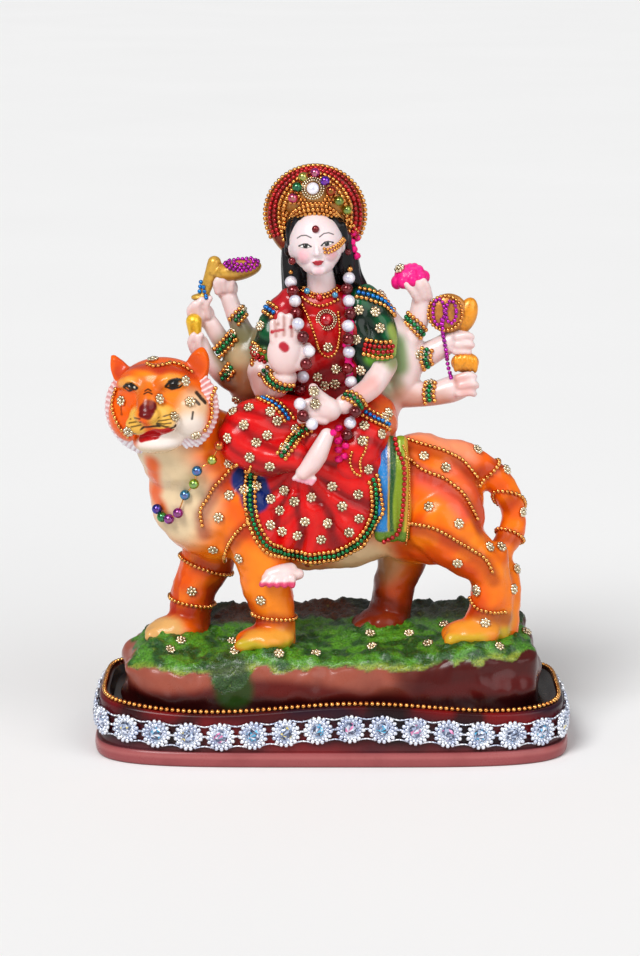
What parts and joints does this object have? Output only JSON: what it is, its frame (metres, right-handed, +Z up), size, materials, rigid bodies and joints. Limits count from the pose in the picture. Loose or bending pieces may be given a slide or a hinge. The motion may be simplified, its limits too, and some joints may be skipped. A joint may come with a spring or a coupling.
{
  "type": "durga figure on a tiger",
  "caption": "Painted cast-resin figure of a many-armed goddess seated on a standing tiger, on a mound in an oblong plinth, with glued bead chains and flower trims.",
  "frame": {"origin": "centre of the plinth's flat underside", "axes": "+Z up, +X to the viewer's right along the plinth, -Y towards the viewer; the tiger faces -X"},
  "size_m": [0.2012, 0.0952, 0.2439],
  "materials": {
    "painted_resin": "hand-painted cast resin under clear lacquer",
    "gold_beads": "polished gold-coloured ball chain and small beads",
    "gold_flowers": "pale gold flower spacers",
    "silver_flowers": "silver flower settings with clear cut stones",
    "pearls": "pearl lustre",
    "green_beads": "metallic green beads between rows of gold ones",
    "blue_beads": "metallic blue beads between rows of gold ones",
    "dark_red_beads": "glossy dark red beads",
    "purple_beads": "metallic purple beads",
    "metallic_beads": "mirror-coated beads in blue, green, yellow and purple"
  },
  "bodies": {
    "root": {"cast_figure": "painted_resin", "rim_chain": "gold_beads", "flower_band": "silver_flowers", "back_chain_1": "gold_beads", "back_chain_2": "gold_beads", "back_chain_3": "gold_beads", "hind_ankle_chain": "gold_beads", "shoulder_chain_1": "gold_beads", "shoulder_chain_2": "gold_beads", "brow_chain": "gold_beads", "ruff_chain_right": "gold_beads", "ruff_chain_left": "gold_beads", "far_leg_ring_upper": "gold_beads", "far_leg_ring_lower": "gold_beads", "near_leg_ring": "gold_beads", "tail_ring_1": "gold_beads", "tail_ring_2": "gold_beads", "tail_ring_3": "gold_beads", "bangle_1": "green_beads", "bangle_2": "green_beads", "bangle_3": "green_beads", "bangle_4": "green_beads", "bangle_5": "green_beads", "bangle_6": "green_beads", "bangle_7": "green_beads", "bangle_8": "green_beads", "skirt_border": "green_beads", "shin_border": "green_beads", "lap_border": "blue_beads", "hip_border": "blue_beads", "shoulder_strip_right": "blue_beads", "shoulder_strip_left": "blue_beads", "sleeve_band_right": "dark_red_beads", "sleeve_band_left": "dark_red_beads", "crown_gold_arc": "gold_beads", "crown_red_arc": "dark_red_beads", "crown_brooch": "pearls", "pendant": "dark_red_beads", "pearl_string_left": "pearls", "pearl_string_right": "pearls", "tiger_necklace": "metallic_beads", "choker": "gold_beads", "blouse_chain": "gold_beads", "saddle_bead_row": "dark_red_beads", "crown_band": "gold_beads", "nose_chain": "gold_beads", "mace_beads": "blue_beads", "purple_strand": "purple_beads", "stud_01": "gold_flowers", "stud_02": "gold_flowers", "stud_03": "gold_flowers", "stud_04": "gold_flowers", "stud_05": "gold_flowers", "stud_06": "gold_flowers", "stud_07": "gold_flowers", "stud_08": "gold_flowers", "stud_09": "gold_flowers", "stud_10": "gold_flowers"}
  },
  "joints": []
}
